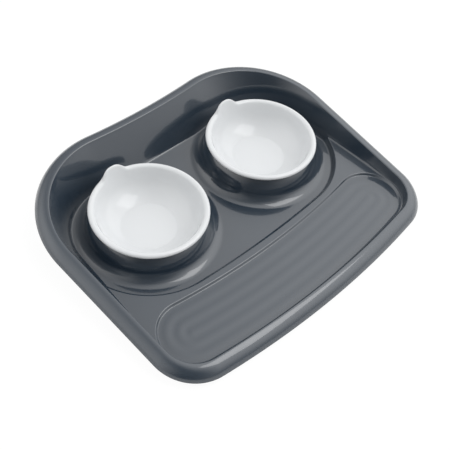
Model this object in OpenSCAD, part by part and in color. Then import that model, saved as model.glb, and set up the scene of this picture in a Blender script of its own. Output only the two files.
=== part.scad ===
// Double pet bowl: a one-piece moulded feeding tray with two raised bowl stands,
// two lift-out bowls and four rubber anti-slip feet.
// Origin: bottom centre of the whole object. X is the width, Y runs to the back, Z is up.

/* [Tray size] */
// Overall width of the tray over its rim
tray_w = 386; // [370:1:410]
// Overall depth of the tray over its rim
tray_d = 310; // [300:1:330]
// Thickness of the moulded sheet
wall = 2.6; // [2:0.1:3.2]

/* [Rim] */
// Width of the rolled rim, seen from above
rim_w = 15.5; // [12:0.5:18]
// How far the outer hem of the rim lies below its inner edge
rim_drop = 10.5; // [8:0.5:12]
// Rounding between the rim and the wall below it
rim_edge_r = 1.4; // [0.8:0.1:2]
// Height of the rim's inner edge at the middle of the front
rim_front_h = 19.5; // [17:0.5:22]
// Height of the rim's inner edge at the back
rim_back_h = 48; // [42:1:56]
// How much narrower the rim is at the front, on each side
rim_taper = 5; // [2:0.5:8]
// How far the middle of the front bows out ahead of its corners
rim_bow = 9; // [6:0.5:12]
// How far the middle of the back dips in between the two lobes
rim_back_dip = 3.5; // [2:0.5:8]
// Radius of the rim's inner edge at the front corners
rim_front_r = 35; // [30:1:50]
// Radius of the rim's inner edge at the back corners
rim_back_r = 94; // [80:1:104]

/* [Wall] */
// How far the foot of the wall lies inside the rim at the front
foot_front_in = 2; // [1:0.5:5]
// The same at the sides, by the front corners
foot_side_in = 1.5; // [1:0.5:6]
// The same at the sides, by the back corners
foot_flank_in = 17; // [12:1:20]
// The same at the back
foot_back_in = 31; // [26:1:36]
// Radius of the foot of the wall at the back corners
foot_back_r = 62; // [56:1:84]
// How far the foot dips in at the middle of the back
foot_back_dip = 2; // [1:0.5:6]

/* [Floor] */
// How far ahead of the bowl centres the shelf ends, at the side walls
shelf_back = 15; // [10:1:20]
// Height of the shelf that carries the front panel, above what the tray stands on
shelf_h = 11; // [9.5:0.5:13]
// Gap under the moulded floor, which the rubber feet bridge
ground_gap = 1.9; // [1.5:0.1:2.5]
// Radius of the sunken basin round each stand
basin_r = 89; // [86:0.5:91]
// How far the basin reaches ahead of the bowl centres, at its middle
basin_front = 92; // [91.5:0.5:95]

/* [Front panel] */
// Depth of the front panel below the shelf
panel_depth = 2.4; // [1.5:0.1:3]
// Width of the front panel, from front to back
panel_w = 70; // [62:1:70]
// Width of the flat land between the basin and the panel, at its middle
land_w = 10.5; // [6:0.5:12]
// Half of the distance between the centres of the panel's round ends
panel_half_len = 134; // [125:1:136]
// How far the middle of the panel bows ahead of its ends
panel_bow = 10; // [6:0.5:11]
// Number of oval ribs on the panel, one inside the other
rib_count = 3; // [2:1:5]
// Width of each rib
rib_w = 6.4; // [3:0.2:7]
// Distance between the middles of two ribs
rib_pitch = 12.7; // [8:0.1:13]
// Height of each rib
rib_h = 0.5; // [0.3:0.1:0.8]

/* [Bowl stands] */
// Distance between the centres of the two stands
stand_gap = 165; // [160:1:170]
// Height of the seat that the bowl's lip rests on
seat_h = 33.2; // [30:0.2:35]
// Outer radius of a stand at its top
stand_top_r = 61; // [57:0.5:63]
// Angle that its flank flares by, from upright
stand_flare = 16; // [10:1:18]
// Radius of the fillet at its foot
stand_fillet_r = 12; // [8:0.5:13]
// Distance of its centre ahead of the foot of the back wall
stand_back = 73; // [70:0.5:78]
// Rounding of the top outer edge
stand_edge_r = 1.2; // [0.6:0.1:1.4]
// How far below the seat the hollow under a stand starts
stand_crest = 9; // [7:0.5:12]

/* [Bowls] */
// How far a bowl's lip overhangs the top of its stand
lip_over = 2.5; // [2:0.5:5]
// Width of the lip, seen from above
lip_w = 7; // [6:0.5:8]
// Height of the lip
lip_h = 5; // [4:0.5:6]
// Rounding of the lip's inner edge
lip_edge_r = 1; // [0.5:0.1:1.5]
// Thickness of the bowl
bowl_wall = 2.2; // [1.8:0.1:2.4]
// Radius of the flat bottom inside a bowl
bowl_flat_r = 31; // [26:1:34]
// Clearance between a bowl and its stand, under the lip
bowl_clear = 0.6; // [0.4:0.1:0.9]
// Gap between a seated bowl and the floor of its well
bowl_gap = 0.5; // [0.4:0.1:1]
// Half of the angle that a bowl's lifting tab takes
tab_half_angle = 20; // [14:1:24]
// How far the tab stands out from the lip
tab_out = 0.6; // [0.4:0.2:4]
// How far the tab rises above its root in the lip
tab_up = 10.5; // [5:0.5:11]
// How broad the tab's top is: 1 is a narrow crest, 2 a broad one
tab_breadth = 1.4; // [1:0.1:2]

/* [Feet] */
// Diameter of a rubber foot
foot_d = 15; // [12:0.5:18]
// How deep a foot sits in its socket
foot_socket = 1.2; // [0.8:0.1:1.5]
// Clearance round a foot in its socket
foot_clear = 0.15; // [0.1:0.05:0.3]
// Distance of the front feet in from the sides of the tray
foot_front_x = 62; // [59:1:74]
// Distance of the front feet behind the front of the tray
foot_front_y = 52; // [46:1:60]
// How far a back foot lies from the middle of its well
foot_back_off = 26; // [16:1:30]

/* [Hidden] */
$fn = 96;
// One overrun serves every cut
cut = 1;
// Steps in each part of the outlines: front, front corner, side, back corner, back middle
front_steps = 10;
corner_steps = 8;
side_steps = 10;
lobe_steps = 12;
dip_steps = 8;
basin_steps = 40;
// Steps in a full circle of the wide arcs
wide_steps = 720;

// Heights
floor_h = ground_gap + wall;
panel_h = shelf_h - panel_depth;
rim_front_y = -tray_d / 2 + rim_w;
rim_back_y = tray_d / 2 - rim_w;
rim_side_x = tray_w / 2 - rim_w;
rim_slope = (rim_back_h - rim_front_h) / (rim_back_y - rim_front_y);

// Places of the stands, worked forward from the foot of the back wall
foot_back_y = rim_back_y - foot_back_in;
bowl_y = foot_back_y - stand_back;
// Radius at which a stand's fillet runs out into the floor
stand_foot_r = stand_top_r + (seat_h - floor_h - stand_fillet_r) * tan(stand_flare)
    + stand_fillet_r / cos(stand_flare);
bowl_x = stand_gap / 2;

// The bowl's lip, and its dish from the seat down
lip_r = stand_top_r + lip_over;
bowl_bottom = seat_h - floor_h - bowl_gap;
dish_drop = bowl_bottom - bowl_wall + lip_h;
dish_steps = 12;
round_steps = 4;
// The dish's curve is part of an ellipse: its half axes, and the angle that it takes
dish_turn = 84;
dish_across = (lip_r - lip_w - bowl_flat_r) / sin(dish_turn);
dish_up = dish_drop / (1 - cos(dish_turn));
tab_steps = 24;
// The lip's inner rounding ends at this angle, where the dish begins
lip_edge_end = 170;
// Shares of the lip's height: its lower rounding, and how far the tab's root lies inside it
lip_low_share = 0.5;
tab_root_share = 0.3;
// Shares of the lip's width, from its outer edge to the tab's inner face, at its root and its top
tab_foot_share = 0.75;
tab_crest_share = 0.3;
// Shares of the tab's rise at its outer and at its inner edge
tab_outer_share = 0.8;
tab_inner_share = 0.9;

// The tray's feet; the back ones lie off the middle of their wells at this angle
back_foot_turn = 60;
front_foot_place = [tray_w / 2 - foot_front_x, -tray_d / 2 + foot_front_y];
back_foot_place = [bowl_x, bowl_y] + foot_back_off * [cos(back_foot_turn), sin(back_foot_turn)];
foot_h = ground_gap + foot_socket;
boss_r = foot_d / 2 + wall;

tray_colour = [0.30, 0.33, 0.36];
bowl_colour = [0.93, 0.94, 0.95];
rubber_colour = [0.12, 0.12, 0.13];

function flip(p) = [-p[0], p[1]];
function reverse(list) = [for (i = [len(list) - 1:-1:0]) list[i]];

// Part of an arc, as points with their outward normals; out is -1 where the outline is hollow
function arc(centre, r, from, to, steps, first, last, out = 1) =
    [for (i = [first:last]) let (a = from + (to - from) * i / steps)
        [centre + r * [cos(a), sin(a)], out * [cos(a), sin(a)]]];

// The straight run from one arc to the next, without its two ends
function run(from_c, from_r, to_c, to_r, a) =
    [for (i = [1:side_steps - 1]) let (s = i / side_steps)
        [from_c * (1 - s) + to_c * s + (from_r * (1 - s) + to_r * s) * [cos(a), sin(a)], [cos(a), sin(a)]]];

// A symmetric outline of arcs, anticlockwise from the left end of its front:
// half its width at the front and at the back, its front and back, how far the front bows
// and the back dips, and the radii of its corners
function outline(front_x, back_x, front_y, back_y, bow, dip, front_r, back_r) =
    let (front_c = [front_x - front_r, front_y + front_r + bow])
    let (back_c = [back_x - back_r, back_y - back_r])
    let (bow_r = (front_c[0] * front_c[0] + bow * bow) / (2 * bow))
    let (dip_r = (back_c[0] * back_c[0] + dip * dip) / (2 * dip))
    let (bow_a = asin(front_c[0] / bow_r))
    let (dip_a = asin(back_c[0] / dip_r))
    let (gap = back_c - front_c)
    let (lean = acos((front_r - back_r) / norm(gap)) - atan2(gap[1], gap[0]))
    concat(
        arc([0, front_y + bow_r + front_r], bow_r + front_r, -90 - bow_a, -90 + bow_a,
            front_steps, 0, front_steps),
        arc(front_c, front_r, -90 + bow_a, -lean, corner_steps, 1, corner_steps),
        run(front_c, front_r, back_c, back_r, -lean),
        arc(back_c, back_r, -lean, 90 + dip_a, lobe_steps, 0, lobe_steps),
        arc([0, back_y - dip + dip_r - back_r], dip_r - back_r, -90 + dip_a, -90 - dip_a,
            dip_steps, 1, dip_steps - 1, -1),
        arc(flip(back_c), back_r, 90 - dip_a, 180 + lean, lobe_steps, 0, lobe_steps),
        run(flip(back_c), back_r, flip(front_c), front_r, 180 + lean),
        arc(flip(front_c), front_r, 180 + lean, 270 - bow_a, corner_steps, 0, corner_steps - 1));

rim_line = outline(rim_side_x - rim_taper, rim_side_x, rim_front_y, rim_back_y,
                   rim_bow, rim_back_dip, rim_front_r, rim_back_r);
foot_line = outline(rim_side_x - rim_taper - foot_side_in, rim_side_x - foot_flank_in,
                    rim_front_y + foot_front_in, foot_back_y,
                    rim_bow, foot_back_dip, rim_front_r - foot_side_in, foot_back_r);
stations = len(rim_line);

// A point some way out from an outline's point
function out_from(station, distance) = station[0] + station[1] * distance;

function rim_z(y) = rim_front_h + (y - rim_front_y) * rim_slope;
function lift(p, below) = [p[0], p[1], rim_z(p[1]) - below];
function grounded(p) = [p[0], p[1], ground_gap];

// The rolled rim's section: steps outward from the inner edge, and down from it
roll_steps = 7;
roll_in = rim_w - rim_edge_r;
roll_r = (roll_in * roll_in + rim_drop * rim_drop) / (2 * rim_drop);
roll_end = asin(roll_in / roll_r);
roll_top = [for (i = [0:roll_steps]) let (a = roll_end * i / roll_steps)
    [rim_edge_r + roll_r * sin(a), roll_r * (1 - cos(a))]];
roll_under_r = roll_r - wall;
roll_under_end = asin((roll_in - wall) / roll_under_r);
roll_under = [for (i = [roll_steps:-1:0]) let (a = roll_under_end * i / roll_steps)
    [rim_edge_r + roll_under_r * sin(a), roll_r - roll_under_r * cos(a)]];
edge_round = [for (a = [0, 45]) rim_edge_r * [1 - cos(a), 1 - sin(a)]];
rim_section = concat(edge_round, roll_top, [[rim_w - wall, rim_drop]], roll_under,
                     [[wall, wall + rim_edge_r]]);
section_count = len(rim_section) + 2;

// The wall and the rim as one ring, swept round the outline
module wall_ring() {
    points = [for (i = [0:stations - 1]) each concat(
        [grounded(foot_line[i][0])],
        [for (s = rim_section) lift(out_from(rim_line[i], s[0]), s[1])],
        [grounded(out_from(foot_line[i], wall))])];
    faces = [for (i = [0:stations - 1], j = [0:section_count - 1])
        let (i2 = (i + 1) % stations)
        let (j2 = (j + 1) % section_count)
        let (a = i * section_count + j)
        let (b = i2 * section_count + j)
        let (c = i2 * section_count + j2)
        let (d = i * section_count + j2)
        each [[a, b, c], [a, c, d]]];
    polyhedron(points, faces);
}

// The basin's outline: part of a circle round each stand, joined by a slightly bowed front
module basin_2d(grow) {
    r = basin_r + grow;
    reach = basin_front + grow;
    bow_r = (bowl_x * bowl_x + reach * reach - r * r) / (2 * (reach - r));
    bow_a = asin(bowl_x / (bow_r - r));
    line = concat(
        arc([0, bowl_y - reach + bow_r], bow_r, -90 - bow_a, -90 + bow_a, front_steps, 0, front_steps),
        arc([bowl_x, bowl_y], r, -90 + bow_a, 90, basin_steps, 1, basin_steps),
        arc([-bowl_x, bowl_y], r, 90, 270 - bow_a, basin_steps, 0, basin_steps - 1));
    polygon([for (s = line) s[0]]);
}

// The front panel's outline: a long oval, bent along the front edge
panel_mid_y = bowl_y - basin_front - land_w - panel_w / 2;
panel_bend_r = (panel_half_len * panel_half_len + panel_bow * panel_bow) / (2 * panel_bow);
panel_angle = asin(panel_half_len / panel_bend_r);
panel_end_y = panel_mid_y + panel_bow;
// The land round the panel's ends reaches this share of its width behind their centres
land_share = 0.33;
module panel_2d(half) {
    bend = [0, panel_mid_y + panel_bend_r];
    reach = 2 * panel_bend_r;
    intersection() {
        translate(bend)
            difference() {
                circle(panel_bend_r + half, $fn = wide_steps);
                circle(panel_bend_r - half, $fn = wide_steps);
            }
        translate(bend)
            polygon([[0, 0], reach * [-sin(panel_angle), -cos(panel_angle)],
                     reach * [sin(panel_angle), -cos(panel_angle)]]);
    }
    for (side = [-1, 1])
        translate(bend + panel_bend_r * [side * sin(panel_angle), -cos(panel_angle)])
            circle(half);
}

module slab(low, high) {
    translate([0, 0, low])
        linear_extrude(high - low)
            children();
}

// Everything from the front of the tray to a line across it
module field_2d(back_y) {
    translate([-tray_w / 2, -tray_d / 2])
        square([tray_w, back_y + tray_d / 2]);
}

// The middle of the wall at one height, as a flat outline
module mid_wall_2d(height) {
    polygon([for (i = [0:stations - 1])
        let (rise = (height - ground_gap) / (rim_z(rim_line[i][0][1]) - wall - ground_gap))
        out_from(foot_line[i], wall / 2) * (1 - rise) + out_from(rim_line[i], wall / 2) * rise]);
}

// A slab that ends inside the wall, in one or more bands that follow the wall's slope
module inner_slab(low, high, bands = 1) {
    band = (high - low) / bands;
    for (i = [0:bands - 1])
        slab(low + i * band, low + (i + 1) * band)
            intersection() {
                mid_wall_2d(low + i * band + band / 2);
                children();
            }
}

// Long ovals, one inside the other, that stand up from the panel
module ribs() {
    slab(panel_h - rib_h, panel_h + rib_h) {
        panel_2d(rib_w / 2);
        for (i = [1:rib_count - 1])
            difference() {
                panel_2d(i * rib_pitch + rib_w / 2);
                panel_2d(i * rib_pitch - rib_w / 2);
            }
    }
}

module floors() {
    // The shelf
    inner_slab(shelf_h - wall, shelf_h)
        difference() {
            field_2d(bowl_y - shelf_back);
            basin_2d(0);
            panel_2d(panel_w / 2);
        }
    // The basin's floor and its step
    inner_slab(ground_gap, floor_h)
        difference() {
            basin_2d(wall);
            for (side = [-1, 1])
                translate([side * bowl_x, bowl_y])
                    circle(stand_foot_r - cut);
        }
    inner_slab(ground_gap, shelf_h, 2)
        difference() {
            intersection() {
                basin_2d(wall);
                field_2d(bowl_y - shelf_back);
            }
            basin_2d(0);
        }
    // The panel's floor and its step, with the land between it and the wall
    difference() {
        inner_slab(panel_h - wall, shelf_h) {
            panel_2d(panel_w / 2 + wall);
            field_2d(panel_end_y + panel_w * land_share);
        }
        slab(panel_h, shelf_h + cut)
            panel_2d(panel_w / 2);
    }
    ribs();
}

// The dish's inner curve, moved outward, as [radius, height above the seat] at an angle round it
function dish_point(out, a) =
    [bowl_flat_r + (dish_across + out) * sin(a), lip_h - dish_drop + dish_up - (dish_up + out) * cos(a)];
function dish_angle(out, z) = acos((dish_up - dish_drop + lip_h - z) / (dish_up + out));
function dish(out, low, high) =
    let (from = dish_angle(out, low))
    let (to = dish_angle(out, high))
    [for (i = [0:dish_steps]) dish_point(out, from + (to - from) * i / dish_steps)];

// A quarter round, as points that run from one angle to another
function quarter(centre, r, from, to) =
    [for (i = [0:round_steps]) let (a = from + (to - from) * i / round_steps)
        centre + r * [cos(a), sin(a)]];

// Half of a stand's section: a flank and a well, with a hollow between them
module stand_section() {
    well = bowl_wall + bowl_clear;
    top = -stand_edge_r;
    seat_in = dish_point(well, dish_angle(well, top))[0];
    floor_z = floor_h - seat_h;
    under_z = ground_gap - seat_h;
    fillet_c = [stand_foot_r, floor_z + stand_fillet_r];
    flank_in = stand_foot_r - stand_fillet_r / cos(stand_flare) - wall;
    lowest = max(under_z, dish_point(well + wall, 0)[1]);
    shell = dish(well + wall, lowest, -stand_crest);
    difference() {
        polygon(concat(
            [[0, under_z], [0, floor_z]],
            dish(well, floor_z, top),
            quarter([seat_in + stand_edge_r / 2, top], stand_edge_r, 120, 90),
            quarter([stand_top_r - stand_edge_r, top], stand_edge_r, 90, stand_flare),
            quarter(fillet_c, stand_fillet_r, 180 + stand_flare, 270),
            [[fillet_c[0], under_z]]));
        polygon(concat(
            [[shell[0][0], under_z - cut]],
            shell,
            [[flank_in + (fillet_c[1] + stand_crest) * tan(stand_flare), -stand_crest],
             [flank_in, fillet_c[1]], [flank_in, under_z - cut]]));
    }
}

module stand(side) {
    translate([side * bowl_x, bowl_y, seat_h])
        rotate_extrude()
            stand_section();
}

// Moves what it is given to a foot's place
module foot_place(place) {
    translate([place[0], place[1], 0])
        children();
}

module sockets() {
    for (side = [-1, 1], place = [front_foot_place, back_foot_place])
        foot_place([side * place[0], place[1]])
            cylinder(h = foot_h, r = foot_d / 2 + foot_clear);
}

module tray() {
    color(tray_colour)
        difference() {
            union() {
                wall_ring();
                floors();
                intersection() {
                    union() {
                        stand(-1);
                        stand(1);
                    }
                    slab(0, seat_h + cut)
                        mid_wall_2d(floor_h - wall / 2);
                }
                for (side = [-1, 1])
                    foot_place([side * front_foot_place[0], front_foot_place[1]])
                        translate([0, 0, ground_gap])
                            cylinder(h = panel_h - ground_gap - wall / 2, r = boss_r);
            }
            sockets();
        }
}

// A bowl: a dish with a thick rounded lip, and a tab to lift it by
module bowl_section() {
    low_r = lip_h * lip_low_share;
    high_r = lip_h - low_r;
    inner_r = lip_r - lip_w;
    polygon(concat(
        [[0, -bowl_bottom]],
        dish(bowl_wall, -bowl_bottom, 0),
        quarter([lip_r - low_r, low_r], low_r, -90, 0),
        quarter([lip_r - high_r, low_r], high_r, 0, 90),
        quarter([inner_r + lip_edge_r, lip_h - lip_edge_r], lip_edge_r, 90, lip_edge_end),
        reverse(dish(0, lip_h - dish_drop, lip_h - lip_edge_r)),
        [[0, lip_h - dish_drop]]));
}

// The tab as a share of its full height, at an angle from its middle
function tab_share(a) = pow(cos(90 * pow(abs(a) / tab_half_angle, tab_breadth)), 2);

module tab() {
    foot_r = lip_r - lip_w * tab_foot_share;
    crest_r = lip_r - lip_w * tab_crest_share;
    root_r = lip_r - lip_h * tab_root_share;
    top_z = lip_h - lip_h * tab_root_share;
    sections = [for (k = [0:tab_steps])
        let (a = tab_half_angle * (2 * k / tab_steps - 1))
        let (s = tab_share(a))
        let (out = [sin(a), cos(a)])
        [concat(foot_r * out, lip_h * lip_low_share),
         concat(root_r * out, lip_h * lip_low_share),
         concat((root_r + (lip_r - root_r + tab_out) * s) * out,
                lip_h * lip_low_share + tab_up * s * tab_outer_share),
         concat((root_r + tab_out * s) * out, top_z + tab_up * s),
         concat((crest_r + tab_out * s) * out, top_z + tab_up * s * tab_inner_share)]];
    n = len(sections[0]);
    last = tab_steps * n;
    faces = [for (k = [0:tab_steps - 1], j = [0:n - 1])
        let (a = k * n + j)
        let (b = k * n + (j + 1) % n)
        each [[a, b + n, b], [a, a + n, b + n]]];
    ends = [[for (j = [0:n - 1]) j], [for (j = [n - 1:-1:0]) last + j]];
    polyhedron([for (s = sections) each s], concat(faces, ends));
}

module bowl(side) {
    color(bowl_colour)
        translate([side * bowl_x, bowl_y, seat_h]) {
            rotate_extrude()
                bowl_section();
            tab();
        }
}

// A rubber foot, chamfered where it meets the ground
module foot(place) {
    color(rubber_colour)
        foot_place(place) {
            cylinder(h = ground_gap / 2, r1 = foot_d / 2 - ground_gap / 2, r2 = foot_d / 2);
            translate([0, 0, ground_gap / 2])
                cylinder(h = foot_h - ground_gap / 2, r = foot_d / 2);
        }
}

module bowl_left() { bowl(-1); }
module bowl_right() { bowl(1); }
module foot_front_left() { foot(flip(front_foot_place)); }
module foot_front_right() { foot(front_foot_place); }
module foot_back_left() { foot(flip(back_foot_place)); }
module foot_back_right() { foot(back_foot_place); }

tray();
bowl_left();
bowl_right();
foot_front_left();
foot_front_right();
foot_back_left();
foot_back_right();
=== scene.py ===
# %% [markdown]
# # Double pet bowl
# A feeding tray for a small pet, moulded in one thin sheet of dark grey plastic, with two white
# bowls that lift out of it. This notebook dresses the CAD model: it builds a finer mesh for the
# tray and the bowls, gives every piece a finish, and lights the whole as a shop photograph is lit.

# %% Load the frame
import math
import bpy
import numpy as np
from mathutils import Matrix, Vector
from mathutils.geometry import delaunay_2d_cdt


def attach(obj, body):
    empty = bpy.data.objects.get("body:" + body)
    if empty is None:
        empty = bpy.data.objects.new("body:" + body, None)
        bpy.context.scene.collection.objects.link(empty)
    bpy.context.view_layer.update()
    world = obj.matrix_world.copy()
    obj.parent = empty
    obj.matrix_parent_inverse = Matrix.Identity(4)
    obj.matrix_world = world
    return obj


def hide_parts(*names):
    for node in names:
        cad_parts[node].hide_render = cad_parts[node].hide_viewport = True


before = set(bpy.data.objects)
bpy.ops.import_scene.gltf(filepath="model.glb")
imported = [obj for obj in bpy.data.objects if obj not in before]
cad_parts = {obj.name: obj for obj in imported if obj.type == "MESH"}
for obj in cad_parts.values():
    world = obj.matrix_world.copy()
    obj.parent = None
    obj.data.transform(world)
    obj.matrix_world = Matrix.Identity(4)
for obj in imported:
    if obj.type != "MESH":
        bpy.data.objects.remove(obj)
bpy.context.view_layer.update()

# %% [markdown]
# ## Sizes
# Nearly all sizes are the CAD model's own, in millimetres, so that the finer meshes lie on its
# solids. A few roundings, the lip and the low ribs follow the photograph more closely. Sizes are
# turned into metres only when a mesh is made. A few driving sizes are written down, and the places
# are worked out from them, so that a change to one size moves all that depends on it.

# %% Sizes of the tray
MM = 0.001
TRAY_W, TRAY_D, WALL = 386.0, 310.0, 2.6
RIM_W, RIM_DROP, RIM_EDGE_R = 15.5, 10.5, 1.4
RIM_FRONT_H, RIM_BACK_H = 19.5, 48.0
RIM_TAPER, RIM_BOW, RIM_DIP = 5.0, 9.0, 3.5
RIM_FRONT_R, RIM_BACK_R = 35.0, 94.0
# How far the wall's foot lies inside the rim at the front corners, the front, the sides and the back.
FOOT_IN_CORNER, FOOT_IN_FRONT, FOOT_IN_SIDE, FOOT_IN_BACK = 1.5, 2.0, 17.0, 31.0
FOOT_DIP, FOOT_BACK_R = 2.0, 62.0
GROUND_GAP, SHELF_H, SEAT_H = 1.9, 11.0, 33.2
BOWL_X, BOWL_TO_FOOT = 82.5, 73.0

FLOOR_H = GROUND_GAP + WALL
RIM_FRONT_Y = -TRAY_D / 2 + RIM_W
RIM_BACK_Y = TRAY_D / 2 - RIM_W
RIM_SIDE_X = TRAY_W / 2 - RIM_W
FOOT_BACK_Y = RIM_BACK_Y - FOOT_IN_BACK
BOWL_Y = FOOT_BACK_Y - BOWL_TO_FOOT
print("bowl centres at x = +-%.1f, y = %.1f mm" % (BOWL_X, BOWL_Y))

# %% [markdown]
# ## The tray's outlines
# Seen from above, the rim and the foot of the wall are the same kind of shape: a bowed front, two
# front corners, straight flanks and two wide lobes at the back with a shallow dip between them.
# They could be drawn by hand as curves, but arcs that touch are exact and need few sizes. A
# station on an outline keeps its point, its outward direction and the arc that it belongs to, so
# that distances from the outline are exact too and the shading stays smooth.

# %% Arcs
# The columns of a station's row, and the signs that turn it into its mirror image.
POINT, OUTWARD, CENTRE, RADIUS, SIDE = slice(0, 2), slice(2, 4), slice(4, 6), 6, 7
OWN_ARC = slice(4, 8)
MIRROR = np.array([-1.0, 1, -1, 1, -1, 1, 1, 1])


def arc(centre, radius, start, end, steps, side=1.0):
    """Stations along part of a circle: point, outward direction, centre, radius and side."""
    turn = np.radians(np.linspace(start, end, steps + 1))
    away = np.stack([np.cos(turn), np.sin(turn)], 1)
    centre = np.array(centre, float)
    own_arc = np.tile([*centre, radius, side], (steps + 1, 1))
    return np.hstack([centre + radius * away, side * away, own_arc])


def straight(start, end, steps):
    """Stations along a straight flank, from the last of one arc to the first of the next."""
    share = np.linspace(0, 1, steps + 1)[1:-1, None]
    rows = start * (1 - share) + end * share
    rows[:, OUTWARD] = start[OUTWARD]
    rows[:, OWN_ARC] = 0
    return rows


print("a quarter circle in 3 steps:", arc([0, 0], 1, 0, 90, 3)[:, POINT].round(2).tolist())

# %% Outlines of the rim and of the wall's foot
FRONT_STEPS, CORNER_STEPS, FLANK_STEPS, LOBE_STEPS, DIP_STEPS = 56, 40, 48, 84, 36


def outline(front_x, back_x, front_y, back_y, bow, dip, front_r, back_r):
    """The right half of the outline from its front to its back, and its mirror image."""
    front_c = np.array([front_x - front_r, front_y + front_r + bow])
    back_c = np.array([back_x - back_r, back_y - back_r])
    bow_r = (front_c[0] ** 2 + bow ** 2) / (2 * bow)
    dip_r = (back_c[0] ** 2 + dip ** 2) / (2 * dip)
    bow_a = math.degrees(math.asin(front_c[0] / bow_r))
    dip_a = math.degrees(math.asin(back_c[0] / dip_r))
    run = back_c - front_c
    lean = math.acos((front_r - back_r) / np.hypot(*run)) - math.atan2(run[1], run[0])
    lean = math.degrees(lean)
    front = arc([0, front_y + bow_r + front_r], bow_r + front_r, -90, -90 + bow_a, FRONT_STEPS)
    corner = arc(front_c, front_r, -90 + bow_a, -lean, CORNER_STEPS)
    lobe = arc(back_c, back_r, -lean, 90 + dip_a, LOBE_STEPS)
    dipped = arc([0, back_y - dip + dip_r - back_r], dip_r - back_r, -90 + dip_a, -90, DIP_STEPS, -1.0)
    flank = straight(corner[-1], lobe[0], FLANK_STEPS)
    right = np.vstack([front, corner[1:], flank, lobe, dipped[1:]])
    return np.vstack([right, right[-2:0:-1] * MIRROR])


rim_line = outline(RIM_SIDE_X - RIM_TAPER, RIM_SIDE_X, RIM_FRONT_Y, RIM_BACK_Y,
                   RIM_BOW, RIM_DIP, RIM_FRONT_R, RIM_BACK_R)
foot_line = outline(RIM_SIDE_X - RIM_TAPER - FOOT_IN_CORNER, RIM_SIDE_X - FOOT_IN_SIDE,
                    RIM_FRONT_Y + FOOT_IN_FRONT, FOOT_BACK_Y,
                    RIM_BOW, FOOT_DIP, RIM_FRONT_R - FOOT_IN_CORNER, FOOT_BACK_R)
STATIONS = len(rim_line)
print("stations on each outline:", STATIONS)

# %% Distance from an outline
BATCH, TINY = 4000, 1e-9


def nearest(line, xy):
    """The index of the station nearest to each point, worked out in batches to save memory."""
    found = np.empty(len(xy), int)
    for at in range(0, len(xy), BATCH):
        gap = xy[at:at + BATCH, None, :] - line[None, :, POINT]
        found[at:at + BATCH] = np.argmin((gap ** 2).sum(2), axis=1)
    return found


def distance(line, index, xy):
    """Distance outward from the outline, and the direction of outward, by the station's own arc."""
    row = line[index]
    from_centre = xy - row[:, CENTRE]
    length = np.maximum(np.hypot(*from_centre.T), TINY)
    bent = row[:, RADIUS] > 0
    out = np.where(bent[:, None], row[:, [SIDE]] * from_centre / length[:, None], row[:, OUTWARD])
    flat = ((xy - row[:, POINT]) * row[:, OUTWARD]).sum(1)
    return np.where(bent, row[:, SIDE] * (length - row[:, RADIUS]), flat), out


def shifted(line, away):
    """The outline's points, moved outward."""
    return line[:, POINT] + line[:, OUTWARD] * away


def rim_z(y):
    """Height of the rim's inner edge, which climbs in a straight line from front to back."""
    return RIM_FRONT_H + (y - RIM_FRONT_Y) * (RIM_BACK_H - RIM_FRONT_H) / (RIM_BACK_Y - RIM_FRONT_Y)


print("rim at the bowls' centres: %.1f mm high" % rim_z(BOWL_Y))

# %% [markdown]
# ## The tray's surface as a height above each point
# A vacuum formed or moulded tray has no undercut inside its rim, so its whole inner face is one
# height over the ground plan: floor, steps, stands and wall. Box modelling with a bevel on every
# edge would also work, but bevels fail where several forms meet. Here each form gives a height,
# and soft maximums and minimums join them, which puts a rounded edge or a fillet wherever two of
# them meet. The underside is the same surface with every outline grown by the sheet's thickness.

# %% Soft joins
def soft_max(first, second, softness):
    """The larger of two heights, rounded where they lie closer together than the softness."""
    near = np.maximum(softness - np.abs(first - second), 0) / softness
    return np.maximum(first, second) + near * near * softness / 4


def soft_min(first, second, softness):
    """The smaller of two heights, rounded in the same way."""
    return -soft_max(-first, -second, softness)


def soft_step(d, low, high, slope, top_round, foot_round):
    """A step that climbs from low, where d is below zero, to high, with both its edges rounded."""
    ramp = (low + high) / 2 + slope * d
    foot = soft_max(ramp, np.full_like(d, low), foot_round)
    return soft_min(foot, np.full_like(d, high), top_round)


print("a step, rounded:", soft_step(np.array([-2.0, -0.5, 0, 0.5, 2]), 0.0, 1.0, 1.0, 0.8, 0.8).round(2))

# %% The wall
LEAST_RUN = 1.0


def edge_drop(slope):
    """How far below the rim's top the wall must end to run smoothly into the rim's rounded edge."""
    tilt = np.arctan(slope)
    return RIM_EDGE_R * (1 - np.cos(tilt) + (1 - np.sin(tilt)) * np.tan(tilt))


def wall_height(xy, index, out):
    """Height of the wall: a straight slope from its foot to the rim, and how steep it is there."""
    foot_d, _ = distance(foot_line, index[0], xy)
    rim_d, rim_out = distance(rim_line, index[1], xy)
    foot_d, rim_d = foot_d - out, rim_d - out
    edge_y = xy[:, 1] - rim_out[:, 1] * rim_d
    top = rim_z(edge_y) - RIM_EDGE_R - out
    run = np.maximum(foot_d - rim_d, LEAST_RUN)
    if not out:
        top += RIM_EDGE_R - edge_drop((top - GROUND_GAP) / run)
    slope = (top - GROUND_GAP) / run
    return GROUND_GAP + foot_d * slope, slope


rim_index = nearest(foot_line, rim_line[:, POINT]), np.arange(STATIONS)
rim_slope = wall_height(rim_line[:, POINT], rim_index, 0.0)[1]
print("wall's slope from %.1f to %.1f" % (rim_slope.min(), rim_slope.max()))

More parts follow.
